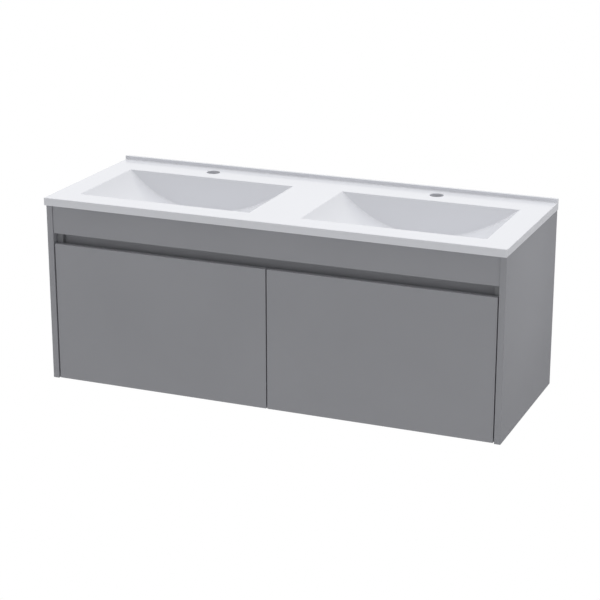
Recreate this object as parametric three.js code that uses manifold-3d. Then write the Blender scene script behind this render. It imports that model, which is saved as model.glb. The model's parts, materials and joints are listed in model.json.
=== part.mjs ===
// Wall-hung bathroom vanity: a cast top with two basins on a cabinet with two drawers.
// Units are millimetres. X runs to the right, Y towards the wall, Z up. The cabinet is laid out
// with Z = 0 at its underside and Y = 0 at the wall, then moved so that the origin is the middle
// of the hanging rail's back face.

import * as THREE from 'three';
import { mergeVertices } from 'three/addons/utils/BufferGeometryUtils.js';
import Module from 'manifold-3d';

const wasm = await Module();
wasm.setup();

// ---------------------------------------------------------------- driving dimensions

// Cast top
const TOP_WIDTH = 1200;
const TOP_DEPTH = 450;
const TOP_THICKNESS = 20;
const SIDE_OVERHANG = 2;
const FRONT_OVERHANG = 8;
const UPSTAND_HEIGHT = 10;
const UPSTAND_THICKNESS = 10;

// Basins
const BASIN_SIDE_MARGIN = 67.5; // from the top's end and from its middle
const BASIN_FRONT_MARGIN = 66;
const BASIN_BACK_MARGIN = 108;
const BASIN_DEPTH = 82;
const BASIN_WALL = 10;
const BASIN_WALL_LEAN = 26; // degrees from upright
const FLOOR_ARC_STEPS = 32;
const TAP_HOLE_RADIUS = 17.5;
const TAP_HOLE_FROM_BACK = 52;
const LEFT_TAP_OFFSET = 18; // how far the left tap hole is outward of its basin's middle
const WASTE_HOLE_RADIUS = 22.5;
const WASTE_SEAT_RADIUS = 33;
const WASTE_SEAT_DEPTH = 3; // below the lowest point of the basin floor
const WASTE_BOSS_MARGIN = 7; // how far the boss under the seat reaches past it
const HOLE_STEPS = 40;
const BUFFER_STEPS = 24;
const CUT_MARGIN = 5; // how far a cut runs past the face that it opens

// Cabinet
const BODY_HEIGHT = 460;
const SIDE_PANEL = 16;
const CARCASS_BOARD = 16;
const FASCIA_HEIGHT = 72.5;
const CHANNEL_OPENING = 27.5;
const CHANNEL_DEPTH = 30;
const CHANNEL_RAIL_DROP = 25; // how far the channel's back reaches below the drawer fronts' top
const HANGING_RAIL_HEIGHT = 100;
const LOWER_RAIL_HEIGHT = 80;
const BRACKET_SIZE = 50;
const BRACKET_GAUGE = 3;

// Drawers
const FRONT_THICKNESS = 16;
const FRONT_GAP = 3;
const FRONT_SETBACK = 2; // behind the side panels' front edges
const FRONT_LIFT = 1; // above the cabinet's underside
const BUFFER_GAP = 2; // between the drawer fronts and the carcass
const BUFFER_RADIUS = 4;
const BUFFER_MARGIN = 18; // from the edges of what a buffer closes against
const DRAWER_BOARD = 15;
const DRAWER_BASE = 8;
const DRAWER_HEIGHT = 160;
const SERVICE_SPACE = 64; // free behind the drawers for pipes
const DRAWER_CLEARANCE = 14; // above the bottom panel
const BASE_GROOVE_LIFT = 12;
const BASE_GROOVE_DEPTH = 6;
const TRAP_NOTCH_WIDTH = 220;
const TRAP_NOTCH_DEPTH = 90;

// Ball-bearing runners
const RUNNER_HEIGHT = 45;
const RUNNER_THICKNESS = 12.7;
const RUNNER_GAUGE = 1.2;
const RUNNER_LIFT = 60; // runner's centre line above the drawer sides' lower edge
const RUNNER_FRONT_INSET = 3; // behind the carcass's front edge
const RUNNER_BACK_INSET = 5; // in front of the drawer box's back
const BALL_GAP = 1.6; // between the flanges of two nested members
const WEB_GAP = 1; // between the webs of the cabinet member and the middle member
const FLANGE_GAP = 0.5; // between a flange's end and the next member's web

const FIT = 0.3; // clearance between pieces that touch

// ---------------------------------------------------------------- places worked out from them

const DECK_Z = BODY_HEIGHT + FIT + TOP_THICKNESS;
const BASIN_WIDTH = TOP_WIDTH / 2 - 2 * BASIN_SIDE_MARGIN;
const BASIN_LENGTH = TOP_DEPTH - BASIN_FRONT_MARGIN - BASIN_BACK_MARGIN;
const BASIN_X = TOP_WIDTH / 4; // each basin is in the middle of its half of the top
const BASIN_Y = (BASIN_FRONT_MARGIN - BASIN_BACK_MARGIN - TOP_DEPTH) / 2;
const BODY_HALF_WIDTH = TOP_WIDTH / 2 - SIDE_OVERHANG;
const BODY_FRONT_Y = FRONT_OVERHANG - TOP_DEPTH;
const PANEL_INNER_X = BODY_HALF_WIDTH - SIDE_PANEL;
const CARCASS_OUTER_X = PANEL_INNER_X - FIT;
const CARCASS_INNER_X = CARCASS_OUTER_X - CARCASS_BOARD;
const RAIL_END_X = CARCASS_INNER_X - FIT;
const FRONT_FACE_Y = BODY_FRONT_Y + FRONT_SETBACK;
const FRONT_BACK_Y = FRONT_FACE_Y + FRONT_THICKNESS;
const CARCASS_FRONT_Y = FRONT_BACK_Y + BUFFER_GAP;
const FASCIA_LOW_Z = BODY_HEIGHT - FASCIA_HEIGHT;
const FRONT_TOP_Z = FASCIA_LOW_Z - CHANNEL_OPENING;
const CHANNEL_BACK_Y = FRONT_FACE_Y + CHANNEL_DEPTH;
const CHANNEL_RAIL_LOW_Z = FRONT_TOP_Z - CHANNEL_RAIL_DROP;
const CHANNEL_RAIL_BACK_Y = CHANNEL_BACK_Y + CARCASS_BOARD;
const RAIL_FRONT_Y = -CARCASS_BOARD;
const FLOOR_TOP_Z = CARCASS_BOARD;
const HANGING_RAIL_LOW_Z = BODY_HEIGHT - HANGING_RAIL_HEIGHT;
const ORIGIN_Z = BODY_HEIGHT - HANGING_RAIL_HEIGHT / 2;

const DIVIDER_X = CARCASS_BOARD / 2;
const RUNNER_SPACE = RUNNER_THICKNESS + 2 * FIT;
const BOX_INNER_X = DIVIDER_X + RUNNER_SPACE; // the drawer box's face nearest the divider
const BOX_OUTER_X = CARCASS_INNER_X - RUNNER_SPACE;
const BOX_LOW_Z = FLOOR_TOP_Z + DRAWER_CLEARANCE;
const BOX_TOP_Z = BOX_LOW_Z + DRAWER_HEIGHT;
const BOX_FRONT_Y = FRONT_BACK_Y + FIT;
const BOX_BACK_Y = -SERVICE_SPACE;
const BASE_LOW_Z = BOX_LOW_Z + BASE_GROOVE_LIFT;
const BASE_TOP_Z = BASE_LOW_Z + DRAWER_BASE;
const RUNNER_Z = BOX_LOW_Z + RUNNER_LIFT;
const RUNNER_FRONT_Y = CARCASS_FRONT_Y + RUNNER_FRONT_INSET;
const RUNNER_BACK_Y = BOX_BACK_Y - RUNNER_BACK_INSET;

// ---------------------------------------------------------------- materials

const paint = (color, roughness, metalness = 0) =>
  new THREE.MeshStandardMaterial({ color, roughness, metalness });

const CAST_WHITE = paint(0xeceef2, 0.22);
const GREY_LACQUER = paint(0x808286, 0.5);
const GREY_BOARD = paint(0x76787b, 0.6);
const DRAWER_GREY = paint(0xb4b5b6, 0.6);
const ZINC_STEEL = paint(0xb9bcc0, 0.35, 1);
const BUFFER_CLEAR = paint(0xd8dadc, 0.4);

// ---------------------------------------------------------------- shape helpers

const SIDES = [
  { sign: -1, name: 'left', tapOffset: LEFT_TAP_OFFSET },
  { sign: 1, name: 'right', tapOffset: 0 },
];

/** A board between two opposite corners. */
function board(name, material, low, high) {
  const size = high.map((value, axis) => value - low[axis]);
  const mesh = new THREE.Mesh(new THREE.BoxGeometry(...size), material);
  mesh.name = name;
  mesh.position.set(...low.map((value, axis) => value + size[axis] / 2));
  return mesh;
}

/** A board given by its distances from the middle plane, on the left or the right of it. */
function sidedBoard(name, material, sign, nearX, farX, lowYZ, highYZ) {
  const lowX = Math.min(sign * nearX, sign * farX);
  const highX = Math.max(sign * nearX, sign * farX);
  return board(name, material, [lowX, ...lowYZ], [highX, ...highYZ]);
}

function outline(points) {
  return new THREE.Shape(points.map(([across, up]) => new THREE.Vector2(across, up)));
}

// Outlines drawn across and up are turned so that they stand in the XZ or the YZ plane.
const FACING_FRONT = new THREE.Matrix4().makeBasis(
  new THREE.Vector3(1, 0, 0),
  new THREE.Vector3(0, 0, 1),
  new THREE.Vector3(0, -1, 0),
);
const FACING_SIDE = new THREE.Matrix4().makeBasis(
  new THREE.Vector3(0, 1, 0),
  new THREE.Vector3(0, 0, 1),
  new THREE.Vector3(1, 0, 0),
);

/** An XZ outline extruded along Y, from frontY back to backY. */
function alongY(shape, frontY, backY, curveSegments = 1) {
  const options = { depth: backY - frontY, bevelEnabled: false, curveSegments };
  return new THREE.ExtrudeGeometry(shape, options).applyMatrix4(FACING_FRONT).translate(0, backY, 0);
}

/** A YZ outline extruded along X, from lowX to highX. */
function alongX(shape, lowX, highX) {
  const options = { depth: highX - lowX, bevelEnabled: false };
  return new THREE.ExtrudeGeometry(shape, options).applyMatrix4(FACING_SIDE).translate(lowX, 0, 0);
}

function piece(name, material, geometry) {
  const mesh = new THREE.Mesh(geometry, material);
  mesh.name = name;
  return mesh;
}

/** An upright cylinder as a solid, from lowZ to highZ. */
function uprightCylinder(radius, x, y, lowZ, highZ) {
  const geometry = new THREE.CylinderGeometry(radius, radius, highZ - lowZ, HOLE_STEPS);
  geometry.rotateX(Math.PI / 2);
  geometry.translate(x, y, (lowZ + highZ) / 2);
  return solid(geometry);
}

function boxSolid(low, high) {
  const size = high.map((value, axis) => value - low[axis]);
  const geometry = new THREE.BoxGeometry(...size);
  geometry.translate(...low.map((value, axis) => value + size[axis] / 2));
  return solid(geometry);
}

function solid(geometry) {
  const bare = geometry.clone();
  bare.deleteAttribute('normal');
  bare.deleteAttribute('uv');
  const merged = mergeVertices(bare);
  return new wasm.Manifold(new wasm.Mesh({
    numProp: 3,
    vertProperties: new Float32Array(merged.attributes.position.array),
    triVerts: new Uint32Array(merged.index.array),
  }));
}

function geometryOf(manifold) {
  const { vertProperties, triVerts } = manifold.getMesh();
  const geometry = new THREE.BufferGeometry();
  geometry.setAttribute('position', new THREE.BufferAttribute(vertProperties, 3));
  geometry.setIndex(new THREE.BufferAttribute(triVerts, 1));
  geometry.computeVertexNormals();
  return geometry;
}

// ---------------------------------------------------------------- cast top

/**
 * A basin's scoop grown outwards by a wall: a floor that is one arc from end to end, between a
 * front and a back wall that lean inwards as they go down.
 */
function scoop(centreX, wall, topZ) {
  const halfWidth = BASIN_WIDTH / 2;
  const innerRadius = (halfWidth ** 2 + BASIN_DEPTH ** 2) / (2 * BASIN_DEPTH);
  const radius = innerRadius + wall;
  const halfAngle = Math.asin(halfWidth / innerRadius);
  const rimHalf = radius * Math.sin(halfAngle);
  const lowZ = DECK_Z - BASIN_DEPTH - wall;
  const down = -Math.PI / 2;
  const floor = new THREE.Shape();
  floor.moveTo(centreX - rimHalf, topZ);
  floor.absarc(centreX, lowZ + radius, radius, down - halfAngle, down + halfAngle, false);
  floor.lineTo(centreX + rimHalf, topZ);

  const lean = THREE.MathUtils.degToRad(BASIN_WALL_LEAN);
  const highZ = DECK_Z + CUT_MARGIN;
  const deckHalf = BASIN_LENGTH / 2 + wall / Math.cos(lean);
  const lowHalf = deckHalf - (DECK_Z - lowZ) * Math.tan(lean);
  const walls = outline([
    [BASIN_Y - lowHalf, lowZ],
    [BASIN_Y + lowHalf, lowZ],
    [BASIN_Y + deckHalf, DECK_Z],
    [BASIN_Y + deckHalf, highZ],
    [BASIN_Y - deckHalf, highZ],
    [BASIN_Y - deckHalf, DECK_Z],
  ]);
  const across = solid(alongY(floor, BASIN_Y - BASIN_LENGTH, BASIN_Y + BASIN_LENGTH, FLOOR_ARC_STEPS));
  const between = solid(alongX(walls, centreX - BASIN_WIDTH, centreX + BASIN_WIDTH));
  return across.intersect(between);
}

/** What one basin adds under the slab: its shell, and a boss that the waste is tightened on. */
function basinShell(centreX) {
  const insideSlabZ = DECK_Z - CUT_MARGIN;
  const seatZ = DECK_Z - BASIN_DEPTH - WASTE_SEAT_DEPTH;
  const radius = WASTE_SEAT_RADIUS + WASTE_BOSS_MARGIN;
  const boss = uprightCylinder(radius, centreX, BASIN_Y, seatZ - BASIN_WALL, seatZ + BASIN_WALL);
  return scoop(centreX, BASIN_WALL, insideSlabZ).add(boss);
}

/** What one basin cuts away: the bowl, the waste's seat and hole, and the tap hole. */
function basinCut(centreX, tapX) {
  const highZ = DECK_Z + CUT_MARGIN;
  const floorZ = DECK_Z - BASIN_DEPTH;
  const seatZ = floorZ - WASTE_SEAT_DEPTH;
  const underZ = seatZ - BASIN_WALL - CUT_MARGIN;
  const bowl = scoop(centreX, 0, highZ);
  const seat = uprightCylinder(WASTE_SEAT_RADIUS, centreX, BASIN_Y, seatZ, floorZ + WASTE_SEAT_DEPTH);
  const waste = uprightCylinder(WASTE_HOLE_RADIUS, centreX, BASIN_Y, underZ, floorZ);
  const tapLowZ = DECK_Z - TOP_THICKNESS - CUT_MARGIN;
  const tap = uprightCylinder(TAP_HOLE_RADIUS, tapX, -TAP_HOLE_FROM_BACK, tapLowZ, highZ);
  return bowl.add(seat).add(waste).add(tap);
}

function basinTop() {
  const half = TOP_WIDTH / 2;
  const slab = boxSolid([-half, -TOP_DEPTH, DECK_Z - TOP_THICKNESS], [half, 0, DECK_Z]);
  const upstand = boxSolid(
    [-half, -UPSTAND_THICKNESS, DECK_Z - CUT_MARGIN],
    [half, 0, DECK_Z + UPSTAND_HEIGHT],
  );
  let top = slab.add(upstand);
  for (const { sign, tapOffset } of SIDES) {
    const centreX = sign * BASIN_X;
    const tapX = centreX + sign * tapOffset;
    top = top.add(basinShell(centreX)).subtract(basinCut(centreX, tapX));
  }
  return piece('basin_top', CAST_WHITE, geometryOf(top));
}

// ---------------------------------------------------------------- cabinet

/** The outer side panel and the inner side, which the drawer's outer runner is fixed to. */
function cabinetSide({ sign, name }) {
  return [
    sidedBoard(`side_panel_${name}`, GREY_LACQUER, sign, PANEL_INNER_X, BODY_HALF_WIDTH,
      [BODY_FRONT_Y, 0], [0, BODY_HEIGHT]),
    sidedBoard(`carcass_side_${name}`, GREY_BOARD, sign, CARCASS_INNER_X, CARCASS_OUTER_X,
      [CARCASS_FRONT_Y, 0], [0, BODY_HEIGHT]),
  ];
}

/** The middle upright. Its top front corner is cut away for the channel, its back for the rails. */
function centreDivider() {
  const lowZ = FLOOR_TOP_Z + FIT;
  const notchZ = CHANNEL_RAIL_LOW_Z - FIT;
  const notchY = CHANNEL_RAIL_BACK_Y + FIT;
  const backY = RAIL_FRONT_Y - FIT;
  const shape = outline([
    [CARCASS_FRONT_Y, lowZ],
    [backY, lowZ],
    [backY, BODY_HEIGHT],
    [notchY, BODY_HEIGHT],
    [notchY, notchZ],
    [CARCASS_FRONT_Y, notchZ],
  ]);
  return piece('centre_divider', GREY_BOARD, alongX(shape, -DIVIDER_X, DIVIDER_X));
}

/** A steel angle between the inner side and the hanging rail. */
function hangingBracket({ sign, name }) {
  const cornerX = sign * RAIL_END_X;
  const cornerY = RAIL_FRONT_Y - FIT;
  const shape = outline([
    [cornerX, cornerY],
    [cornerX - sign * BRACKET_SIZE, cornerY],
    [cornerX - sign * BRACKET_SIZE, cornerY - BRACKET_GAUGE],
    [cornerX - sign * BRACKET_GAUGE, cornerY - BRACKET_GAUGE],
    [cornerX - sign * BRACKET_GAUGE, cornerY - BRACKET_SIZE],
    [cornerX, cornerY - BRACKET_SIZE],
  ]);
  const geometry = new THREE.ExtrudeGeometry(shape, { depth: BRACKET_SIZE, bevelEnabled: false });
  geometry.translate(0, 0, ORIGIN_Z - BRACKET_SIZE / 2);
  return piece(`hanging_bracket_${name}`, ZINC_STEEL, geometry);
}

/** Boards that run from side to side. */
function crossBoards() {
  const fasciaEnd = PANEL_INNER_X - FIT;
  const railEnd = RAIL_END_X;
  const lowerRailZ = FLOOR_TOP_Z + FIT;
  return [
    board('bottom_panel', GREY_BOARD, [-railEnd, CARCASS_FRONT_Y, 0], [railEnd, 0, FLOOR_TOP_Z]),
    board('fascia_rail', GREY_LACQUER,
      [-fasciaEnd, FRONT_FACE_Y, FASCIA_LOW_Z], [fasciaEnd, CARCASS_FRONT_Y - FIT, BODY_HEIGHT]),
    board('channel_stretcher', GREY_LACQUER,
      [-railEnd, CARCASS_FRONT_Y, FASCIA_LOW_Z],
      [railEnd, CHANNEL_RAIL_BACK_Y, FASCIA_LOW_Z + CARCASS_BOARD]),
    board('channel_back_rail', GREY_LACQUER,
      [-railEnd, CHANNEL_BACK_Y, CHANNEL_RAIL_LOW_Z],
      [railEnd, CHANNEL_RAIL_BACK_Y, FASCIA_LOW_Z - FIT]),
    board('hanging_rail', GREY_BOARD,
      [-railEnd, RAIL_FRONT_Y, HANGING_RAIL_LOW_Z], [railEnd, 0, BODY_HEIGHT]),
    board('lower_back_rail', GREY_BOARD,
      [-railEnd, RAIL_FRONT_Y, lowerRailZ], [railEnd, 0, lowerRailZ + LOWER_RAIL_HEIGHT]),
  ];
}

// ---------------------------------------------------------------- drawers

/** A drawer box's side, with the groove that the base slides into. */
function drawerSide(name, outerX, innerX) {
  const outwards = Math.sign(outerX - innerX);
  const grooveX = innerX + outwards * BASE_GROOVE_DEPTH;
  const shape = outline([
    [outerX, BOX_LOW_Z],
    [innerX, BOX_LOW_Z],
    [innerX, BASE_LOW_Z - FIT],
    [grooveX, BASE_LOW_Z - FIT],
    [grooveX, BASE_TOP_Z + FIT],
    [innerX, BASE_TOP_Z + FIT],
    [innerX, BOX_TOP_Z],
    [outerX, BOX_TOP_Z],
  ]);
  return piece(name, DRAWER_GREY, alongY(shape, BOX_FRONT_Y, BOX_BACK_Y));
}

/** A drawer box's back, notched at the top so that the drawer clears the waste trap. */
function drawerBack({ sign, name }) {
  const nearX = sign * (BOX_INNER_X + DRAWER_BOARD + FIT);
  const farX = sign * (BOX_OUTER_X - DRAWER_BOARD - FIT);
  const notchX = sign * BASIN_X;
  const notchHalf = sign * TRAP_NOTCH_WIDTH / 2;
  const lowZ = BASE_TOP_Z + FIT;
  const notchZ = BOX_TOP_Z - TRAP_NOTCH_DEPTH;
  const shape = outline([
    [nearX, lowZ],
    [farX, lowZ],
    [farX, BOX_TOP_Z],
    [notchX + notchHalf, BOX_TOP_Z],
    [notchX + notchHalf, notchZ],
    [notchX - notchHalf, notchZ],
    [notchX - notchHalf, BOX_TOP_Z],
    [nearX, BOX_TOP_Z],
  ]);
  return piece(`${name}_drawer_back`, DRAWER_GREY, alongY(shape, BOX_BACK_Y - DRAWER_BOARD, BOX_BACK_Y));
}

function drawerFront({ sign, name }) {
  return sidedBoard(`${name}_drawer_front`, GREY_LACQUER, sign, FRONT_GAP / 2, PANEL_INNER_X - FRONT_GAP,
    [FRONT_FACE_Y, FRONT_LIFT], [FRONT_BACK_Y, FRONT_TOP_Z]);
}

/** Soft discs on the back of a drawer front, where it closes against the carcass. */
function frontBuffers({ sign, name }) {
  const sideX = (CARCASS_INNER_X + CARCASS_OUTER_X) / 2;
  const places = [
    { spot: 'upper', x: sideX, z: FRONT_TOP_Z - BUFFER_MARGIN },
    { spot: 'lower', x: sideX, z: FLOOR_TOP_Z + BUFFER_MARGIN },
    { spot: 'middle', x: DIVIDER_X + BUFFER_MARGIN, z: FLOOR_TOP_Z / 2 },
  ];
  return places.map(({ spot, x, z }) => {
    const thickness = BUFFER_GAP - 2 * FIT;
    const disc = new THREE.CylinderGeometry(BUFFER_RADIUS, BUFFER_RADIUS, thickness, BUFFER_STEPS);
    const mesh = piece(`${name}_drawer_buffer_${spot}`, BUFFER_CLEAR, disc);
    mesh.position.set(sign * x, FRONT_BACK_Y + BUFFER_GAP / 2, z);
    return mesh;
  });
}

/** A C-shaped runner member: an upright web, and two flanges that reach from it along X. */
function runnerMember(name, webX, direction, reach, height) {
  const farX = webX + direction * reach;
  const innerX = webX + direction * RUNNER_GAUGE;
  const half = height / 2;
  const innerHalf = half - RUNNER_GAUGE;
  const shape = outline([
    [webX, RUNNER_Z - half],
    [farX, RUNNER_Z - half],
    [farX, RUNNER_Z - innerHalf],
    [innerX, RUNNER_Z - innerHalf],
    [innerX, RUNNER_Z + innerHalf],
    [farX, RUNNER_Z + innerHalf],
    [farX, RUNNER_Z + half],
    [webX, RUNNER_Z + half],
  ]);
  return piece(name, ZINC_STEEL, alongY(shape, RUNNER_FRONT_Y, RUNNER_BACK_Y));
}

/** The three nested members of one runner. The cabinet member is fixed to the wall at wallX. */
function runner(name, wallX, direction) {
  const webX = wallX + direction * FIT;
  const middleOffset = RUNNER_GAUGE + WEB_GAP;
  const flangeEnd = RUNNER_THICKNESS - RUNNER_GAUGE - FLANGE_GAP;
  const drawerReach = RUNNER_THICKNESS - middleOffset - RUNNER_GAUGE - 2 * FLANGE_GAP;
  const step = 2 * (RUNNER_GAUGE + BALL_GAP);
  return [
    runnerMember(`${name}_cabinet`, webX, direction, flangeEnd, RUNNER_HEIGHT),
    runnerMember(`${name}_middle`, webX + direction * middleOffset, direction,
      flangeEnd - middleOffset, RUNNER_HEIGHT - step),
    runnerMember(`${name}_drawer`, webX + direction * RUNNER_THICKNESS, -direction,
      drawerReach, RUNNER_HEIGHT - 2 * step),
  ];
}

function drawer(side) {
  const { sign, name } = side;
  return [
    drawerFront(side),
    drawerSide(`${name}_drawer_side_inner`, sign * BOX_INNER_X, sign * (BOX_INNER_X + DRAWER_BOARD)),
    drawerSide(`${name}_drawer_side_outer`, sign * BOX_OUTER_X, sign * (BOX_OUTER_X - DRAWER_BOARD)),
    drawerBack(side),
    sidedBoard(`${name}_drawer_base`, DRAWER_GREY, sign,
      BOX_INNER_X + DRAWER_BOARD - BASE_GROOVE_DEPTH + FIT,
      BOX_OUTER_X - DRAWER_BOARD + BASE_GROOVE_DEPTH - FIT,
      [BOX_FRONT_Y, BASE_LOW_Z], [BOX_BACK_Y, BASE_TOP_Z]),
    ...frontBuffers(side),
    ...runner(`${name}_runner_inner`, sign * DIVIDER_X, sign),
    ...runner(`${name}_runner_outer`, sign * CARCASS_INNER_X, -sign),
  ];
}

// ---------------------------------------------------------------- assembly

const cabinet = new THREE.Group();
cabinet.add(basinTop(), centreDivider(), ...crossBoards());
for (const side of SIDES) {
  cabinet.add(...cabinetSide(side), hangingBracket(side));
}

const drawers = new THREE.Group();
for (const side of SIDES) {
  drawers.add(...drawer(side));
}

const vanity = new THREE.Group();
vanity.add(cabinet, drawers);
vanity.position.z = -ORIGIN_Z;

export default vanity;
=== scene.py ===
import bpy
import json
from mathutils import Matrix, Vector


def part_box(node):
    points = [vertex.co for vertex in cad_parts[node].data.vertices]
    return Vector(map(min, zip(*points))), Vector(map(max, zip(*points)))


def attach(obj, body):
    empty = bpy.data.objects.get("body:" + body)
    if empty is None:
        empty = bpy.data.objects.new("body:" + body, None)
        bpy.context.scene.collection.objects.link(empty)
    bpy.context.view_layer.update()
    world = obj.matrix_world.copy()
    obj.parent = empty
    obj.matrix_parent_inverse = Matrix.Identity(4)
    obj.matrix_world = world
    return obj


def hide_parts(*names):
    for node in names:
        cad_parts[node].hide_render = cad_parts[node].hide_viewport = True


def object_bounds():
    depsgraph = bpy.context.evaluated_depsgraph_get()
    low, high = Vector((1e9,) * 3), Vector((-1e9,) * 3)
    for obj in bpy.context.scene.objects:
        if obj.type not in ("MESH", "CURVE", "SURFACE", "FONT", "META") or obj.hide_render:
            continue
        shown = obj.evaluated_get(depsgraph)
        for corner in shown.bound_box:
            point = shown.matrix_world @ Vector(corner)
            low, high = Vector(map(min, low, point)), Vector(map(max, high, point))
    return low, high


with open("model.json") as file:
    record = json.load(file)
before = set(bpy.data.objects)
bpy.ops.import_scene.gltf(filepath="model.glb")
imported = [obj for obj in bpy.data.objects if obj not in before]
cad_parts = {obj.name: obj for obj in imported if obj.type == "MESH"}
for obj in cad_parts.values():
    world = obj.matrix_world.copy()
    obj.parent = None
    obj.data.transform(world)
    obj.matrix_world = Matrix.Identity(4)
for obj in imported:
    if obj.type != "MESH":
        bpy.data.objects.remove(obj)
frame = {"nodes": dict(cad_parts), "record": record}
CAD_BOX = [list(corner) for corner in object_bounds()]

import json
import math

import bmesh
import bpy
from bpy.props import FloatProperty, FloatVectorProperty, IntProperty, PointerProperty
from mathutils import Matrix, Vector

bl_info = {
    "name": "Wall-hung Vanity",
    "version": (1, 0, 0),
    "blender": (4, 5, 0),
    "location": "3D View > Sidebar > Vanity",
    "description": "Finished pieces, materials and a studio for a wall-hung double vanity",
    "category": "Object",
}

MM = 0.001
QUARTER_TURN = math.pi / 2
RECORD = frame["record"]
BODY_OF = {node: body for body, nodes in RECORD["behaviour"]["bodies"].items() for node in nodes}
SLOT_OF = {row["node"]: row["material_slot"] for row in RECORD["subparts"]}
SIGNS = {"left": -1, "right": 1}

# ---------------------------------------------------------------- settings


def length(name, description, default):
    """A length property, with its default in millimetres."""
    return FloatProperty(name=name, description=description, default=default * MM,
                         unit="LENGTH", subtype="DISTANCE")


def angle(name, description, default):
    """An angle property, with its default in degrees."""
    return FloatProperty(name=name, description=description, default=math.radians(default),
                         unit="ROTATION", subtype="ANGLE")


def colour(name, description, default):
    """A colour property."""
    return FloatVectorProperty(name=name, description=description, default=default,
                               subtype="COLOR", min=0, max=1)


class CastTopSettings(bpy.types.PropertyGroup):
    """Sizes of the cast top and its basins."""

    slab: length("Slab", "Thickness of the top's edge", 20)
    upstand: length("Upstand", "Thickness of the upstand along the wall", 10)
    side_margin: length("Side margin", "From a basin to the top's end, and to its middle", 67.5)
    front_margin: length("Front margin", "From the top's front edge to a basin", 66)
    back_margin: length("Back margin", "From a basin to the wall", 108)
    depth: length("Basin depth", "From the deck to the lowest point of a basin's floor", 82)
    shell: length("Shell", "Thickness of the shell under a basin", 10)
    lean: angle("Wall lean", "Lean of a basin's front and back walls from upright", 26)
    floor_fillet: length("Floor fillet", "Radius between a basin's floor and its walls", 7)
    rim_round: length("Rim rounding", "Radius of a basin's rim", 2.2)
    edge_round: length("Edge rounding", "Radius of the top's outer edges", 1.5)
    cove: length("Cove", "Radius at the foot of the upstand", 3)
    tap_radius: length("Tap hole", "Radius of each tap hole", 17.5)
    tap_from_wall: length("Tap hole place", "From the wall to the middle of a tap hole", 52)
    left_tap_offset: length("Left tap offset", "Left tap hole, outward of its basin's middle", 18)
    waste_radius: length("Waste hole", "Radius of each waste hole", 22.5)
    seat_radius: length("Waste seat", "Radius of the recess for the waste's flange", 33)
    seat_depth: length("Seat depth", "Depth of that recess below the basin's floor", 3)
    boss_margin: length("Boss margin", "How far the boss under the seat reaches past it", 7)
    hole_round: length("Hole rounding", "Radius of the edge round each hole", 1)
    floor_steps: IntProperty(name="Floor steps", description="Sections along a basin's floor",
                             default=72, min=12)
    hole_steps: IntProperty(name="Hole steps", description="Facets round a hole", default=96, min=24)


class BoardSettings(bpy.types.PropertyGroup):
    """Edges of the boards and of the steel parts."""

    lacquer_edge: length("Lacquered edge", "Rounding of a lacquered board's edges", 0.8)
    tape_edge: length("Taped edge", "Rounding of an edge-taped board's edges", 0.5)
    steel_edge: length("Steel edge", "Rounding of a steel part's edges", 0.2)


class FittingSettings(bpy.types.PropertyGroup):
    """Screws and joint fittings."""

    runner_screw_radius: length("Runner screw", "Radius of a runner screw's head", 3.6)
    runner_screw_height: length("Runner screw height", "Height of that head", 0.45)
    runner_slot: length("Runner screw slot", "Width of that head's slot", 0.8)
    cam_radius: length("Cam", "Radius of a drawer's joint cam", 7.5)
    cam_height: length("Cam height", "Height of a cam above the board", 0.4)
    cam_slot: length("Cam slot", "Width of a cam's slot", 1.6)
    cam_from_front: length("Cam place", "From the drawer front to the middle of a cam", 24)
    bracket_screw_radius: length("Bracket screw", "Radius of a bracket screw's head", 4.5)
    bracket_screw_height: length("Bracket screw height", "Height of that head", 2.2)
    bracket_slot: length("Bracket screw slot", "Width of that head's slot", 1.0)
    bracket_spacing: length("Bracket spacing", "Between a bracket's two screws on a face", 24)
    runner_gauge: length("Runner gauge", "Thickness of a runner's steel", 1.2)
    bracket_gauge: length("Bracket gauge", "Thickness of a bracket's steel", 3)


class FinishSettings(bpy.types.PropertyGroup):
    """Colours of the finishes."""

    cast_white: colour("Cast white", "The cast top", (0.77, 0.78, 0.82))
    lacquer: colour("Lacquer", "The lacquered boards", (0.337, 0.341, 0.365))
    grey_board: colour("Carcass board", "The carcass boards", (0.285, 0.29, 0.305))
    drawer_board: colour("Drawer board", "The drawer boxes", (0.50, 0.505, 0.51))
    zinc: colour("Zinc", "The steel parts", (0.74, 0.75, 0.77))
    buffer: colour("Buffer", "The soft buffers", (0.74, 0.75, 0.76))


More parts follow.
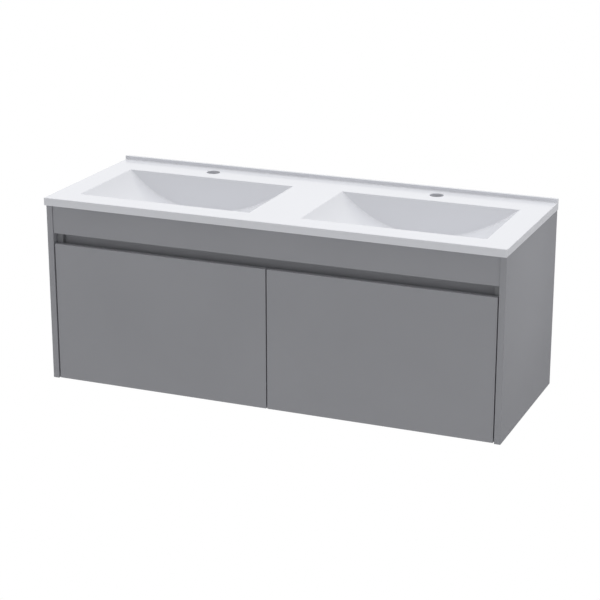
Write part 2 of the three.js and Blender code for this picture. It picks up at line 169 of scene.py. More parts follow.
class StudioSettings(bpy.types.PropertyGroup):
    """Camera, lights and floor."""

    camera_place: FloatVectorProperty(
        name="Camera place", description="Where the camera stands", subtype="TRANSLATION",
        default=(1.6781, -4.2882, 1.2416))
    camera_yaw: angle("Camera yaw", "How far the camera turns to the left", 22.439)
    camera_tilt: angle("Camera tilt", "How far the camera looks down", 18.06)
    lens: FloatProperty(name="Lens", description="Focal length in millimetres", default=109.6)
    overhead: FloatProperty(name="Overhead", description="Strength of the overhead light", default=1.95)
    overhead_spread: angle("Overhead spread", "Width of the overhead light", 90)
    overhead_back: angle("Overhead back", "How far the overhead light stands behind", 24)
    overhead_left: angle("Overhead left", "How far the overhead light stands to the left", 12)
    ambient: FloatProperty(name="Ambient", description="Light from all round", default=0.5)
    fill: FloatProperty(name="Side fill", description="Power of the side light in watts", default=0.32)
    fill_place: FloatVectorProperty(name="Side fill place", description="Where the side light stands",
                                    subtype="TRANSLATION", default=(0.98, -0.15, -0.005))
    fill_length: length("Side fill length", "Length of the side light", 500)
    fill_height: length("Side fill height", "Height of the side light", 90)
    backdrop: FloatProperty(name="Backdrop", default=1.0,
                            description="Brightness of the white backdrop")
    floor_drop: length("Floor drop", "From the cabinet to the floor", 2600)
    floor_half: length("Floor size", "From the middle of the floor to its edge", 60000)
    floor_reflection: FloatProperty(name="Floor reflection", default=0.14,
                                    description="Brightness of the floor in reflections")
    floor_colour: colour("Floor", "The studio floor", (0.75, 0.75, 0.75))


class VanitySettings(bpy.types.PropertyGroup):
    """Everything that can be set on the vanity and its studio."""

    top: PointerProperty(type=CastTopSettings)
    boards: PointerProperty(type=BoardSettings)
    fittings: PointerProperty(type=FittingSettings)
    finishes: PointerProperty(type=FinishSettings)
    studio: PointerProperty(type=StudioSettings)


# ---------------------------------------------------------------- mesh helpers

WELD = 0.002 * MM  # vertices closer than this are one
FLAT_ANGLE = math.radians(0.5)  # faces that turn less than this are one face
SHARP_ANGLE = math.radians(38)  # faces that turn more than this meet at an edge
EDGE_STEPS = 3  # facets across a board's rounded edge
ARC_STEPS = 6  # facets across a rounding of the cast top or a buffer
LARGEST_FACE_WEIGHT = 100  # the larger face alone sets the shading where two meet


def linked(name, data):
    """A new object at the origin that holds the mesh, camera or light."""
    made = bpy.data.objects.new(name, data)
    bpy.context.scene.collection.objects.link(made)
    return made


def linked_shape(name, shape):
    """A new object from a closed bmesh, with its doubles merged and its faces pointing out."""
    bmesh.ops.remove_doubles(shape, verts=shape.verts, dist=WELD)
    bmesh.ops.recalc_face_normals(shape, faces=shape.faces)
    mesh = bpy.data.meshes.new(name)
    shape.to_mesh(mesh)
    shape.free()
    return linked(name, mesh)


def rings_body(name, rings):
    """A closed body through equal rings of points, capped at both ends."""
    shape = bmesh.new()
    loops = [[shape.verts.new(point) for point in ring] for ring in rings]
    count = len(loops[0])
    for here, there in zip(loops, loops[1:]):
        for i in range(count):
            j = (i + 1) % count
            shape.faces.new((here[i], here[j], there[j], there[i]))
    shape.faces.new(loops[0][::-1])
    shape.faces.new(loops[-1])
    return linked_shape(name, shape)


def even_turns(start, end):
    """Angles from start to end, in the steps of a rounding."""
    return [start + (end - start) * k / ARC_STEPS for k in range(ARC_STEPS + 1)]


def turned_rings(profile, steps, place):
    """Rings of a profile (radius, height) turned about the Z axis of place."""
    turns = [2 * math.pi * k / steps for k in range(steps)]
    return [[place @ Vector((radius * math.cos(t), radius * math.sin(t), height)) for t in turns]
            for radius, height in profile]


def facing(point, direction):
    """The placement at a point whose Z axis points in a direction."""
    turn = Vector(direction).to_track_quat("Z", "Y").to_matrix().to_4x4()
    return Matrix.Translation(point) @ turn


def baked(made):
    """Puts the object's evaluated mesh in place of its own, and drops its modifiers."""
    graph = bpy.context.evaluated_depsgraph_get()
    mesh = bpy.data.meshes.new_from_object(made.evaluated_get(graph), depsgraph=graph)
    made.modifiers.clear()
    made.data = mesh


def combine(made, other, operation):
    """Joins another object to made, or cuts it out of made, and removes it."""
    modifier = made.modifiers.new(operation, "BOOLEAN")
    modifier.operation = operation
    modifier.solver = "EXACT"
    modifier.object = other
    baked(made)
    bpy.data.objects.remove(other)


def smooth_to_edges(made):
    """Smooth shading that stops at the edges."""
    made.data.shade_smooth()
    made.data.set_sharp_from_angle(angle=SHARP_ANGLE)


def even_shading(made):
    """Smooth shading in which a large flat face stays flat beside a small rounding."""
    smooth_to_edges(made)
    modifier = made.modifiers.new("even", "WEIGHTED_NORMAL")
    modifier.keep_sharp = True
    modifier.weight = LARGEST_FACE_WEIGHT
    baked(made)


def softened(name, node, edge):
    """A copy of a CAD node with its edges rounded."""
    source = frame["nodes"][node].data
    mesh = bpy.data.meshes.new(name)
    mesh.from_pydata([v.co for v in source.vertices], [], [list(p.vertices) for p in source.polygons])
    shape = bmesh.new()
    shape.from_mesh(mesh)
    bpy.data.meshes.remove(mesh)
    bmesh.ops.remove_doubles(shape, verts=shape.verts, dist=WELD)
    bmesh.ops.dissolve_limit(shape, angle_limit=FLAT_ANGLE, verts=shape.verts, edges=shape.edges)
    made = linked_shape(name, shape)
    modifier = made.modifiers.new("edges", "BEVEL")
    modifier.width = edge
    modifier.segments = EDGE_STEPS
    modifier.limit_method = "ANGLE"
    modifier.angle_limit = SHARP_ANGLE
    baked(made)
    even_shading(made)
    return made


def nodes_of(slot):
    """The CAD nodes of a material slot, in the order of their names."""
    return sorted(node for node in SLOT_OF if SLOT_OF[node] == slot)


def finish_piece(made, slot, body):
    """Gives a piece the material of its slot in the record, and its body."""
    made.data.materials.clear()
    made.data.materials.append(MATERIALS[slot])
    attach(made, body)


def stand_for(made, node):
    """Finishes a piece that stands for one CAD node."""
    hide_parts(node)
    finish_piece(made, SLOT_OF[node], BODY_OF[node])


# ---------------------------------------------------------------- shader groups

GROUPS = {}
NOISE_LOW = 0.3  # a noise texture stays mostly above this
NOISE_HIGH = 0.7  # and mostly below this


def feed(tree, socket, source):
    """Links a socket to the source, or sets its value where the source is a plain value."""
    if isinstance(source, bpy.types.NodeSocket):
        tree.links.new(source, socket)
    else:
        socket.default_value = source


def shader_group(name, inputs, outputs):
    """An empty shader group with named sockets. Returns it with its input and output sockets."""
    group = bpy.data.node_groups.new(name, "ShaderNodeTree")
    for label, (kind, default) in inputs.items():
        socket = group.interface.new_socket(name=label, in_out="INPUT", socket_type=kind)
        socket.default_value = default
    for label, kind in outputs.items():
        group.interface.new_socket(name=label, in_out="OUTPUT", socket_type=kind)
    GROUPS[name] = group
    return group, group.nodes.new("NodeGroupInput").outputs, group.nodes.new("NodeGroupOutput").inputs


def wired(tree, kind, options=None, **sources):
    """Adds a node and returns its outputs. Each source is a socket to link or a value to set, by
    the input's name with _ for a space, or by its number as in_0."""
    node = tree.nodes.new(kind)
    for label, value in (options or {}).items():
        setattr(node, label, value)
    for label, source in sources.items():
        number = label.removeprefix("in_")
        key = int(number) if number.isdigit() else label.replace("_", " ")
        feed(tree, node.inputs[key], source)
    return node.outputs


def make_drift_group():
    """Slow drift of tone and gloss over a surface, as sprayed, cast and plated faces have."""
    group, given, out = shader_group(
        "surface_drift",
        {"Vector": ("NodeSocketVector", (0, 0, 0)), "Colour": ("NodeSocketColor", (0.5, 0.5, 0.5, 1)),
         "Scale": ("NodeSocketFloat", 6.0), "Tone Drift": ("NodeSocketFloat", 0.03),
         "Roughness": ("NodeSocketFloat", 0.4), "Gloss Drift": ("NodeSocketFloat", 0.05)},
        {"Colour": "NodeSocketColor", "Roughness": "NodeSocketFloat"})
    cloud = wired(group, "ShaderNodeTexNoise", Vector=given["Vector"], Scale=given["Scale"],
                  Detail=4.0)["Fac"]
    centred = wired(group, "ShaderNodeMapRange", Value=cloud, From_Min=NOISE_LOW, From_Max=NOISE_HIGH,
                    To_Min=-1.0, To_Max=1.0)["Result"]
    tone = wired(group, "ShaderNodeMath", {"operation": "MULTIPLY_ADD"},
                 in_0=centred, in_1=given["Tone Drift"], in_2=1.0)[0]
    gloss = wired(group, "ShaderNodeMath", {"operation": "MULTIPLY_ADD"},
                  in_0=centred, in_1=given["Gloss Drift"], in_2=given["Roughness"])[0]
    toned = wired(group, "ShaderNodeVectorMath", {"operation": "SCALE"},
                  in_0=given["Colour"], Scale=tone)[0]
    group.links.new(toned, out["Colour"])
    group.links.new(gloss, out["Roughness"])


def make_grain_group():
    """A fine relief, even or drawn out along an axis."""
    group, given, out = shader_group(
        "surface_grain",
        {"Vector": ("NodeSocketVector", (0, 0, 0)), "Stretch": ("NodeSocketVector", (1, 1, 1)),
         "Scale": ("NodeSocketFloat", 900.0), "Relief": ("NodeSocketFloat", 0.00005),
         "Strength": ("NodeSocketFloat", 0.1)},
        {"Normal": "NodeSocketVector"})
    drawn = wired(group, "ShaderNodeVectorMath", {"operation": "MULTIPLY"},
                  in_0=given["Vector"], in_1=given["Stretch"])[0]
    fine = wired(group, "ShaderNodeTexNoise", Vector=drawn, Scale=given["Scale"], Detail=3.0,
                 Roughness=0.6)["Fac"]
    bump = wired(group, "ShaderNodeBump", Strength=given["Strength"], Distance=given["Relief"],
                 Height=fine)["Normal"]
    group.links.new(bump, out["Normal"])


# ---------------------------------------------------------------- materials

MATERIALS = {}


def placed_group(tree, name, sources):
    """A shared group in a material. Each source is a socket to link or a value to set."""
    node = tree.nodes.new("ShaderNodeGroup")
    node.node_tree = GROUPS[name]
    for label, source in sources.items():
        feed(tree, node.inputs[label], source)
    return node.outputs


def surface(name, tint, drift, grain, constants):
    """A material with drifting tone and gloss and a fine grain. The constants go straight on the
    shader's own sockets."""
    material = bpy.data.materials.new(name)
    material.use_nodes = True
    tree = material.node_tree
    shader = tree.nodes["Principled BSDF"].inputs
    for label, value in constants.items():
        shader[label].default_value = value
    place = tree.nodes.new("ShaderNodeTexCoord").outputs["Object"]
    face = placed_group(tree, "surface_drift", {"Vector": place, "Colour": (*tint, 1), **drift})
    relief = placed_group(tree, "surface_grain", {"Vector": place, **grain})
    tree.links.new(face["Colour"], shader["Base Color"])
    tree.links.new(face["Roughness"], shader["Roughness"])
    tree.links.new(relief["Normal"], shader["Normal"])
    return material


def cast_white(tint):
    """Cast mineral under a polished gelcoat."""
    return surface(
        "gelcoat_white", tint,
        {"Scale": 3.0, "Tone Drift": 0.008, "Roughness": 0.16, "Gloss Drift": 0.02},
        {"Scale": 240.0, "Relief": 0.00005, "Strength": 0.04},
        {"IOR": 1.5})


def grey_lacquer(tint):
    """Sprayed satin lacquer with a faint orange peel."""
    return surface(
        "satin_lacquer_grey", tint,
        {"Scale": 4.0, "Tone Drift": 0.015, "Roughness": 0.36, "Gloss Drift": 0.04},
        {"Scale": 700.0, "Relief": 0.00004, "Strength": 0.12},
        {"IOR": 1.48})


def grey_board(tint):
    """Faced board with a fine matt pearl."""
    return surface(
        "faced_board_grey", tint,
        {"Scale": 9.0, "Tone Drift": 0.03, "Roughness": 0.6, "Gloss Drift": 0.05},
        {"Scale": 1500.0, "Relief": 0.00006, "Strength": 0.25},
        {"IOR": 1.45})


def drawer_board(tint):
    """Light faced board with a linen grain drawn out along the drawer."""
    return surface(
        "faced_board_light", tint,
        {"Scale": 12.0, "Tone Drift": 0.03, "Roughness": 0.58, "Gloss Drift": 0.05},
        {"Stretch": (1, 0.06, 1), "Scale": 1300.0, "Relief": 0.00008, "Strength": 0.35},
        {"IOR": 1.45})


def zinc_steel(tint):
    """Bright zinc plate, drawn along the runner."""
    return surface(
        "zinc_plate", tint,
        {"Scale": 40.0, "Tone Drift": 0.05, "Roughness": 0.38, "Gloss Drift": 0.06},
        {"Stretch": (1, 0.04, 1), "Scale": 1600.0, "Relief": 0.00002, "Strength": 0.06},
        {"Metallic": 1.0})


def buffer_plastic(tint):
    """Clear soft plastic."""
    return surface(
        "clear_buffer", tint,
        {"Scale": 80.0, "Tone Drift": 0.03, "Roughness": 0.3, "Gloss Drift": 0.05},
        {"Scale": 1200.0, "Relief": 0.00003, "Strength": 0.1},
        {"IOR": 1.5, "Transmission Weight": 0.35})


def make_materials(finishes):
    """One material for each material slot of the record."""
    MATERIALS["cast_white"] = cast_white(finishes.cast_white)
    MATERIALS["grey_lacquer"] = grey_lacquer(finishes.lacquer)
    MATERIALS["grey_board"] = grey_board(finishes.grey_board)
    MATERIALS["drawer_board"] = drawer_board(finishes.drawer_board)
    MATERIALS["zinc_steel"] = zinc_steel(finishes.zinc)
    MATERIALS["buffer"] = buffer_plastic(finishes.buffer)


# ---------------------------------------------------------------- cast top

CUT_MARGIN = 5 * MM  # how far a cutter reaches past the face that it opens
LID_SHARE = 0.5  # depth at which a shell's walls start, as a part of the slab's thickness
SHELL_END_SHARE = 0.75  # depth of a shell's floor at its ends, as a part of that thickness
ROUND_SHARE = 0.5  # the most of a wall's height that its rim's rounding takes
FILLET_SHARE = 0.9  # the most of a wall's height that its floor fillet takes
RIM_END_SLOPE = math.radians(8)  # slope at which a rounding ends just below the deck


def rim_arc(radius, slope):
    """Points (out, down) of the rounding between the deck and a wall, from the wall up. They are
    measured from the corner that the rounding replaces."""
    reach = radius * math.tan(slope / 2)
    return [(reach - radius * math.sin(turn), radius * (1 - math.cos(turn)))
            for turn in even_turns(slope, RIM_END_SLOPE)]


class Bowl:
    """One basin's hollow, or the outside of its shell when wall is above zero."""

    def __init__(self, top, half_x, half_y, wall):
        self.top = top
        self.half_x = half_x
        self.half_y = half_y
        self.wall = wall
        inner = (half_x ** 2 + top.depth ** 2) / (2 * top.depth)
        self.radius = inner + wall
        self.centre_height = inner - top.depth  # of the floor's arc, above the deck
        self.lid = LID_SHARE * top.slab if wall else 0.0  # depth at which the walls start

    def stations(self):
        """(x, depth) along the floor, from end to end."""
        if self.wall:
            shallow = SHELL_END_SHARE * self.top.slab
            end = math.acos((shallow + self.centre_height) / self.radius)
            rim = []
        else:
            slope = math.asin(self.half_x / self.radius)
            end = slope - self.top.rim_round * math.tan(slope / 2) / self.radius
            rim = [(self.half_x + out, down) for out, down in rim_arc(self.top.rim_round, slope)][1:]
        turns = [end * (2 * k / self.top.floor_steps - 1) for k in range(self.top.floor_steps + 1)]
        floor = [(self.radius * math.sin(t), self.radius * math.cos(t) - self.centre_height)
                 for t in turns]
        return [(-x, down) for x, down in reversed(rim)] + floor + rim

    def half_section(self, depth):
        """(y, depth) from the lid down the wall and along the floor to the middle."""
        slope = QUARTER_TURN - self.top.lean
        out = self.half_y + self.wall / math.cos(self.top.lean)
        if self.wall:
            points = [(out - self.lid * math.tan(self.top.lean), self.lid)]
        else:
            arc = rim_arc(min(self.top.rim_round, ROUND_SHARE * depth), slope)
            points = [(out + across, down) for across, down in reversed(arc)]
            points.insert(0, (points[0][0], -CUT_MARGIN))
        fillet = min(self.top.floor_fillet + self.wall, FILLET_SHARE * (depth - self.lid))
        foot = out - depth * math.tan(self.top.lean) - fillet * math.tan(slope / 2)
        for turn in even_turns(slope, 0.0):
            points.append((foot + fillet * math.sin(turn), depth - fillet * (1 - math.cos(turn))))
        points.append((0.0, depth))
        return points

    def solid(self, name, centre):
        """The bowl as a closed body. centre is the point of the deck above its lowest line."""
        rings = []
        for x, depth in self.stations():
            side = self.half_section(depth)
            ring = side + [(-y, down) for y, down in side[-2::-1]]
            rings.append([centre + Vector((x, y, -down)) for y, down in ring])
        return rings_body(name, rings)


def rounded_outline(corners):
    """Points round an outline of square corners, each given as (across, up, radius)."""
    points = []
    for i, (across, up, radius) in enumerate(corners):
        here = Vector((across, up))
        before = Vector(corners[i - 1][:2]) - here
        after = Vector(corners[(i + 1) % len(corners)][:2]) - here
        start = here + before.normalized() * radius
        end = here + after.normalized() * radius
        centre = start + end - here
        for turn in even_turns(0.0, QUARTER_TURN):
            points.append(centre + (start - centre) * math.cos(turn) + (end - centre) * math.sin(turn))
    return points


def slab_outline(top, low, high, deck, inset):
    """The top seen from its end, drawn in all round by inset."""
    edge = top.edge_round - inset
    front, back = low.y + inset, high.y - inset
    under, over = deck - top.slab + inset, high.z - inset
    foot = -top.upstand + inset
    return rounded_outline([
        (front, under, edge), (front, deck - inset, edge), (foot, deck - inset, top.cove + inset),
        (foot, over, edge), (back, over, edge), (back, under, edge)])


def slab_with_upstand(top, low, high, deck):
    """The top without its basins, with every outer edge rounded."""
    right_end = [(high.x - top.edge_round * (1 - math.sin(turn)), top.edge_round * (1 - math.cos(turn)))
                 for turn in even_turns(0.0, QUARTER_TURN)]
    left_end = [(-x, inset) for x, inset in reversed(right_end)]
    rings = [[(x, y, z) for y, z in slab_outline(top, low, high, deck, inset)]
             for x, inset in left_end + right_end]
    return rings_body("basin_top_cast", rings)


def upright_body(name, top, centre, profile):
    """A profile (radius, height) turned about the upright line through centre."""
    place = Matrix.Translation((centre.x, centre.y, 0))
    return rings_body(name, turned_rings(profile, top.hole_steps, place))


def hole_cutter(top, radius, centre, low, high):
    """An upright cutter for a hole whose upper edge is rounded. high is the face it opens in."""
    profile = [(radius, low)]
    profile += [(radius + out, high - down) for out, down in rim_arc(top.hole_round, QUARTER_TURN)]
    profile.append((profile[-1][0], high + CUT_MARGIN))
    return upright_body("hole_cutter", top, centre, profile)


def seat_cutter(top, centre, seat):
    """An upright cutter for the recess of the waste's flange, with a rounded foot."""
    profile = [(top.seat_radius - top.hole_round * (1 - math.sin(turn)),
                seat + top.hole_round * (1 - math.cos(turn)))
               for turn in even_turns(0.0, QUARTER_TURN)]
    profile.append((top.seat_radius, seat + top.seat_depth + CUT_MARGIN))
    return upright_body("seat_cutter", top, centre, profile)


def waste_boss(top, centre, low, high):
    """The round boss under a waste hole, which the waste's nut is tightened on."""
    radius = top.seat_radius + top.boss_margin
    return upright_body("boss", top, centre, [(radius, low), (radius, high)])


def make_cast_top(top):
    """The slab with the shells and bosses joined on, and then the hollows and holes cut out."""
    low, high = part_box("basin_top")
    seat = low.z + top.shell
    deck = seat + top.seat_depth + top.depth
    half_x = (high.x - low.x) / 4 - top.side_margin
    half_y = (high.y - low.y - top.front_margin - top.back_margin) / 2
    outside = Bowl(top, half_x, half_y, top.shell)
    inside = Bowl(top, half_x, half_y, 0.0)
    made = slab_with_upstand(top, low, high, deck)
    centres = [Vector((sign * (half_x + top.side_margin), -top.back_margin - half_y, deck))
               for sign in SIGNS.values()]
    for centre in centres:
        combine(made, outside.solid("shell", centre), "UNION")
        combine(made, waste_boss(top, centre, low.z, seat + top.shell), "UNION")
    for centre in centres:
        offset = top.left_tap_offset if centre.x < 0 else 0.0
        tap = Vector((centre.x - offset, -top.tap_from_wall, 0))
        combine(made, inside.solid("hollow", centre), "DIFFERENCE")
        combine(made, seat_cutter(top, centre, seat), "DIFFERENCE")
        combine(made, hole_cutter(top, top.waste_radius, centre, low.z - CUT_MARGIN, seat),
                "DIFFERENCE")
        combine(made, hole_cutter(top, top.tap_radius, tap, deck - top.slab - CUT_MARGIN, deck),
                "DIFFERENCE")
    even_shading(made)
    stand_for(made, "basin_top")


# ---------------------------------------------------------------- screws and cams

HEAD_STEPS = 24  # facets round a head
SLOT_LENGTH = 1.1  # a slot's length, as a part of its head's radius
SCREWS_ALONG = (0.08, 0.5, 0.92)  # a runner's screws, as parts of its length
CAMS_UP = (0.25, 0.75)  # a drawer side's cams, as parts of its height


def geometry_tree(name, sizes):
    """An empty geometry tree with number inputs. Returns it with its input and output sockets."""
    tree = bpy.data.node_groups.new(name, "GeometryNodeTree")
    tree.interface.new_socket(name="Geometry", in_out="INPUT", socket_type="NodeSocketGeometry")
    for label in sizes:
        tree.interface.new_socket(name=label, in_out="INPUT", socket_type="NodeSocketFloat")
    tree.interface.new_socket(name="Material", in_out="INPUT", socket_type="NodeSocketMaterial")
    tree.interface.new_socket(name="Geometry", in_out="OUTPUT", socket_type="NodeSocketGeometry")
    return tree, tree.nodes.new("NodeGroupInput").outputs, tree.nodes.new("NodeGroupOutput").inputs


def combined(tree, x, y, z):
    """A vector of three numbers in a tree."""
    return wired(tree, "ShaderNodeCombineXYZ", X=x, Y=y, Z=z)[0]


def result_of(tree, operation, value, other):
    """The result of one operation on two numbers in a tree."""
    return wired(tree, "ShaderNodeMath", {"operation": operation}, in_0=value, in_1=other)[0]


def crossed_slot(tree, given):
    """Two bars that cut a cross into the top of a head."""
    bars = []
    reach = result_of(tree, "MULTIPLY", given["Radius"], SLOT_LENGTH)
    for x, y in ((reach, given["Slot"]), (given["Slot"], reach)):
        bar = wired(tree, "GeometryNodeMeshCube", Size=combined(tree, x, y, given["Height"]))["Mesh"]
        bars.append(wired(tree, "GeometryNodeTransform", Geometry=bar,
                          Translation=combined(tree, 0.0, 0.0, given["Height"]))["Geometry"])
    return bars


def head_tree():
    """A low domed head with a crossed slot on every point, facing as the point's attribute says."""
    tree, given, out = geometry_tree("slotted_heads", ("Radius", "Height", "Slot"))
    ball = wired(tree, "GeometryNodeMeshUVSphere", Segments=HEAD_STEPS, Rings=HEAD_STEPS // 2,
                 Radius=given["Radius"])["Mesh"]
    flat = result_of(tree, "DIVIDE", given["Height"], given["Radius"])
    head = wired(tree, "GeometryNodeTransform", Geometry=ball,
                 Scale=combined(tree, 1.0, 1.0, flat))["Geometry"]
    cut = wired(tree, "GeometryNodeMeshBoolean", {"operation": "DIFFERENCE"}, Mesh_1=head)["Mesh"]
    for bar in crossed_slot(tree, given):
        tree.links.new(bar, cut.node.inputs["Mesh 2"])
    side = wired(tree, "GeometryNodeInputNamedAttribute", {"data_type": "FLOAT_VECTOR"},
                 Name="facing")["Attribute"]
    turn = wired(tree, "FunctionNodeAlignRotationToVector", {"axis": "Z"}, Vector=side)["Rotation"]
    placed = wired(tree, "GeometryNodeInstanceOnPoints", Points=given["Geometry"], Instance=cut,
                   Rotation=turn)["Instances"]
    real = wired(tree, "GeometryNodeRealizeInstances", Geometry=placed)["Geometry"]
    coated = wired(tree, "GeometryNodeSetMaterial", Geometry=real,
                   Material=given["Material"])["Geometry"]
    tree.links.new(coated, out["Geometry"])
    return tree


def fit_heads(name, tree, places, sizes, body):
    """Heads at places, each a point and the direction that it faces, as one piece of a body."""
    mesh = bpy.data.meshes.new(name)
    mesh.from_pydata([point for point, _ in places], [], [])
    attribute = mesh.attributes.new("facing", "FLOAT_VECTOR", "POINT")
    for i, (_, direction) in enumerate(places):
        attribute.data[i].vector = direction
    made = linked(name, mesh)
    modifier = made.modifiers.new("heads", "NODES")
    modifier.node_group = tree
    values = {**sizes, "Material": MATERIALS["zinc_steel"]}
    for item in tree.interface.items_tree:
        if item.in_out == "INPUT" and item.name in values:
            modifier[item.identifier] = values[item.name]
    baked(made)
    smooth_to_edges(made)
    finish_piece(made, "zinc_steel", body)


def web_screws(node, direction, gauge):
    """Places for the screws on the web of a runner member. They face along X."""
    low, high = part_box(node)
    x = low.x + gauge if direction > 0 else high.x - gauge
    return [(Vector((x, low.y + part * (high.y - low.y), (low.z + high.z) / 2)),
             Vector((direction, 0, 0))) for part in SCREWS_ALONG]


def side_cams(node, direction, from_front):
    """Places for the cams on the inner face of a drawer side."""
    low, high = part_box(node)
    x = high.x if direction > 0 else low.x
    return [(Vector((x, low.y + from_front, low.z + part * (high.z - low.z))),
             Vector((direction, 0, 0))) for part in CAMS_UP]


def bracket_screws(node, sign, fittings):
    """Places for two screws on each face of a hanging bracket."""
    low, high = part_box(node)
    side_x = high.x - fittings.bracket_gauge if sign > 0 else low.x + fittings.bracket_gauge
    rail_y = high.y - fittings.bracket_gauge
    middle = (low + high) / 2
    places = []
    for up in (-1, 1):
        z = middle.z + up * fittings.bracket_spacing / 2
        places.append((Vector((middle.x, rail_y, z)), Vector((0, -1, 0))))
        places.append((Vector((side_x, middle.y, z)), Vector((-sign, 0, 0))))
    return places


def head_sizes(radius, height, slot):
    """The sizes of a head, by the names of the tree's inputs."""
    return {"Radius": radius, "Height": height, "Slot": slot}


def make_fittings(fittings):
    """The heads on each drawer, and then those on the cabinet."""
    tree = head_tree()
    runner_sizes = head_sizes(fittings.runner_screw_radius, fittings.runner_screw_height,
                              fittings.runner_slot)
    cam_sizes = head_sizes(fittings.cam_radius, fittings.cam_height, fittings.cam_slot)
    bracket_sizes = head_sizes(fittings.bracket_screw_radius, fittings.bracket_screw_height,
                               fittings.bracket_slot)
    fixed_screws, bracket_places = [], []
    for side, sign in SIGNS.items():
        moving_screws, cams = [], []
        for end, to_wall in (("inner", -sign), ("outer", sign)):
            runner = f"{side}_runner_{end}"
            fixed_screws += web_screws(f"{runner}_cabinet", -to_wall, fittings.runner_gauge)
            moving_screws += web_screws(f"{runner}_drawer", to_wall, fittings.runner_gauge)
            cams += side_cams(f"{side}_drawer_side_{end}", -to_wall, fittings.cam_from_front)
        fit_heads(f"{side}_drawer_runner_screws", tree, moving_screws, runner_sizes, f"{side}_drawer")
        fit_heads(f"{side}_drawer_cams", tree, cams, cam_sizes, f"{side}_drawer")
        bracket_places += bracket_screws(f"hanging_bracket_{side}", sign, fittings)
    fit_heads("cabinet_runner_screws", tree, fixed_screws, runner_sizes, "cabinet")
    fit_heads("hanging_bracket_screws", tree, bracket_places, bracket_sizes, "cabinet")


# ---------------------------------------------------------------- boards, steel and buffers

BUFFER_STEPS = 32  # facets round a buffer
DOME_TOP = 0.25  # radius of a dome's flat top, as a part of its foot's
DOME_FOOT = 0.3  # height at which a dome starts to curve, as a part of its whole height


def make_softened(slot, ending, edge):
    """A softened piece for every CAD node of a slot. The ending is added to the node's name."""
    for node in nodes_of(slot):
        stand_for(softened(f"{node}_{ending}", node, edge), node)


def make_buffers():
    """A low dome in place of each plain buffer, on the back of its drawer front."""
    for node in nodes_of("buffer"):
        low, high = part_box(node)
        radius, height = (high.x - low.x) / 2, high.y - low.y
        base = Vector(((low.x + high.x) / 2, low.y, (low.z + high.z) / 2))
        profile = [(radius, 0.0)]
        for turn in even_turns(0.0, QUARTER_TURN):
            profile.append((radius * (DOME_TOP + (1 - DOME_TOP) * math.cos(turn)),
                            height * (DOME_FOOT + (1 - DOME_FOOT) * math.sin(turn))))
        made = rings_body(f"{node}_dome", turned_rings(profile, BUFFER_STEPS, facing(base, (0, 1, 0))))
        even_shading(made)
        stand_for(made, node)


# ---------------------------------------------------------------- studio


def make_camera(studio):
    """The camera, in front and to the right of the cabinet."""
    data = bpy.data.cameras.new("camera")
    data.lens = studio.lens
    data.clip_end = 2 * studio.floor_half
    camera = linked("camera", data)
    camera.location = studio.camera_place
    camera.rotation_euler = (QUARTER_TURN - studio.camera_tilt, 0, studio.camera_yaw)
    bpy.context.scene.camera = camera


def make_overhead_light(studio):
    """A very wide light from above, which gloss does not reflect."""
    data = bpy.data.lights.new("overhead", "SUN")
    data.energy = studio.overhead
    data.angle = studio.overhead_spread
    light = linked("overhead", data)
    light.rotation_euler = (-studio.overhead_back, -studio.overhead_left, 0)
    light.visible_glossy = False


def make_side_fill(studio):
    """A low soft light that faces the right side panel from just under the top."""
    data = bpy.data.lights.new("side_fill", "AREA")
    data.shape = "RECTANGLE"
    data.size = studio.fill_height
    data.size_y = studio.fill_length
    data.energy = studio.fill
    light = linked("side_fill", data)
    light.location = studio.fill_place
    light.rotation_euler = (0, QUARTER_TURN, 0)
    light.visible_camera = False


def make_surroundings(studio):
    """Even light from all round, and the white backdrop that the camera and reflections see."""
    world = bpy.data.worlds.new("surroundings")
    world.use_nodes = True
    tree = world.node_tree
    lighting = tree.nodes.new("ShaderNodeLightPath").outputs["Is Diffuse Ray"]
    strength = wired(tree, "ShaderNodeMapRange", Value=lighting, To_Min=studio.backdrop,
                     To_Max=studio.ambient)["Result"]
    background = tree.nodes["Background"].inputs
    background["Color"].default_value = (1, 1, 1, 1)
    tree.links.new(strength, background["Strength"])
    bpy.context.scene.world = world


def shown_white(material, brightness, reflection):
    """Lets the camera see a stage surface as the white backdrop, and gloss see it as a dim one."""
    tree = material.node_tree
    rays = tree.nodes.new("ShaderNodeLightPath").outputs
    shown = tree.nodes["Principled BSDF"].outputs[0]
    for ray, strength in (("Is Glossy Ray", reflection), ("Is Camera Ray", brightness)):
        glow = wired(tree, "ShaderNodeEmission", Strength=strength)["Emission"]
        shown = wired(tree, "ShaderNodeMixShader", in_0=rays[ray], in_1=shown, in_2=glow)[0]
    tree.links.new(shown, tree.nodes["Material Output"].inputs["Surface"])
    return material


def make_floor(studio):
    """A wide pale floor with a fine, even texture."""
    size = studio.floor_half
    height = CAD_BOX[0][2] - studio.floor_drop
    mesh = bpy.data.meshes.new("studio_floor")
    corners = [(-size, -size, height), (size, -size, height),
               (size, size, height), (-size, size, height)]
    mesh.from_pydata(corners, [], [(0, 1, 2, 3)])
    floor = linked("studio_floor", mesh)
    paint = surface(
        "floor_paint", studio.floor_colour,
        {"Scale": 0.5, "Tone Drift": 0.002, "Roughness": 0.9, "Gloss Drift": 0.02},
        {"Scale": 40.0, "Relief": 0.0002, "Strength": 0.05},
        {"Specular IOR Level": 0.0})
    floor.data.materials.append(shown_white(paint, studio.backdrop, studio.floor_reflection))


# ---------------------------------------------------------------- operators


class MakeFinishes(bpy.types.Operator):
    """Make the shared shader groups and the materials"""

    bl_idname = "vanity.make_finishes"
    bl_label = "Finishes"

    def execute(self, context):
        make_drift_group()
        make_grain_group()
        make_materials(context.scene.vanity.finishes)
        return {"FINISHED"}


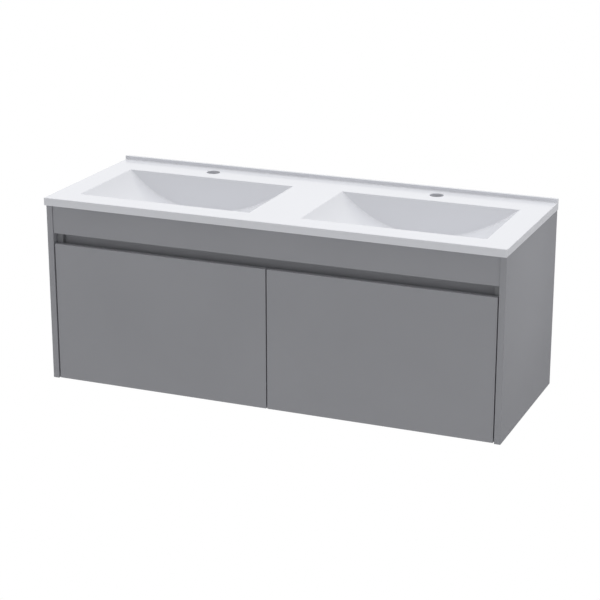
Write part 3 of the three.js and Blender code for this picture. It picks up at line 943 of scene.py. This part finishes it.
class MakeCastTop(bpy.types.Operator):
    """Make the cast top with its two basins"""

    bl_idname = "vanity.make_cast_top"
    bl_label = "Cast top"

    def execute(self, context):
        make_cast_top(context.scene.vanity.top)
        return {"FINISHED"}


class MakeLacqueredBoards(bpy.types.Operator):
    """Make the lacquered fronts, side panels and fascia"""

    bl_idname = "vanity.make_lacquered_boards"
    bl_label = "Lacquered boards"

    def execute(self, context):
        make_softened("grey_lacquer", "lacquered", context.scene.vanity.boards.lacquer_edge)
        return {"FINISHED"}


class MakeCarcassBoards(bpy.types.Operator):
    """Make the carcass boards and rails"""

    bl_idname = "vanity.make_carcass_boards"
    bl_label = "Carcass boards"

    def execute(self, context):
        make_softened("grey_board", "faced", context.scene.vanity.boards.tape_edge)
        return {"FINISHED"}


class MakeDrawerBoards(bpy.types.Operator):
    """Make the sides, backs and bases of the drawer boxes"""

    bl_idname = "vanity.make_drawer_boards"
    bl_label = "Drawer boards"

    def execute(self, context):
        make_softened("drawer_board", "faced", context.scene.vanity.boards.tape_edge)
        return {"FINISHED"}


class MakeSteelParts(bpy.types.Operator):
    """Make the runners and the hanging brackets"""

    bl_idname = "vanity.make_steel_parts"
    bl_label = "Steel parts"

    def execute(self, context):
        make_softened("zinc_steel", "pressed", context.scene.vanity.boards.steel_edge)
        return {"FINISHED"}


class MakeBuffers(bpy.types.Operator):
    """Make the clear domes that the drawer fronts close on"""

    bl_idname = "vanity.make_buffers"
    bl_label = "Buffers"

    def execute(self, context):
        make_buffers()
        return {"FINISHED"}


class MakeFittings(bpy.types.Operator):
    """Make the runner screws, the drawers' cams and the bracket screws"""

    bl_idname = "vanity.make_fittings"
    bl_label = "Screws and cams"

    def execute(self, context):
        make_fittings(context.scene.vanity.fittings)
        return {"FINISHED"}


class MakeStudio(bpy.types.Operator):
    """Make the camera, the lights and the floor"""

    bl_idname = "vanity.make_studio"
    bl_label = "Studio"

    def execute(self, context):
        studio = context.scene.vanity.studio
        make_camera(studio)
        make_overhead_light(studio)
        make_side_fill(studio)
        make_surroundings(studio)
        make_floor(studio)
        context.scene.view_settings.view_transform = "Standard"
        return {"FINISHED"}


OPERATORS = (MakeFinishes, MakeCastTop, MakeLacqueredBoards, MakeCarcassBoards, MakeDrawerBoards,
             MakeSteelParts, MakeBuffers, MakeFittings, MakeStudio)


class VanityPanel(bpy.types.Panel):
    """The steps that make the vanity, in order"""

    bl_idname = "VIEW3D_PT_vanity"
    bl_label = "Wall-hung Vanity"
    bl_space_type = "VIEW_3D"
    bl_region_type = "UI"
    bl_category = "Vanity"

    def draw(self, context):
        for operator in OPERATORS:
            self.layout.operator(operator.bl_idname)


CLASSES = (CastTopSettings, BoardSettings, FittingSettings, FinishSettings, StudioSettings,
           VanitySettings, *OPERATORS, VanityPanel)


def register():
    """Adds the classes, and the settings to the scene."""
    for made in CLASSES:
        bpy.utils.register_class(made)
    bpy.types.Scene.vanity = PointerProperty(type=VanitySettings)


def unregister():
    """Takes the settings and the classes away again."""
    del bpy.types.Scene.vanity
    for made in reversed(CLASSES):
        bpy.utils.unregister_class(made)


def main():
    """Makes every piece and the studio, in order."""
    register()
    for operator in OPERATORS:
        group, name = operator.bl_idname.split(".")
        getattr(getattr(bpy.ops, group), name)()


if __name__ == "__main__":
    main()
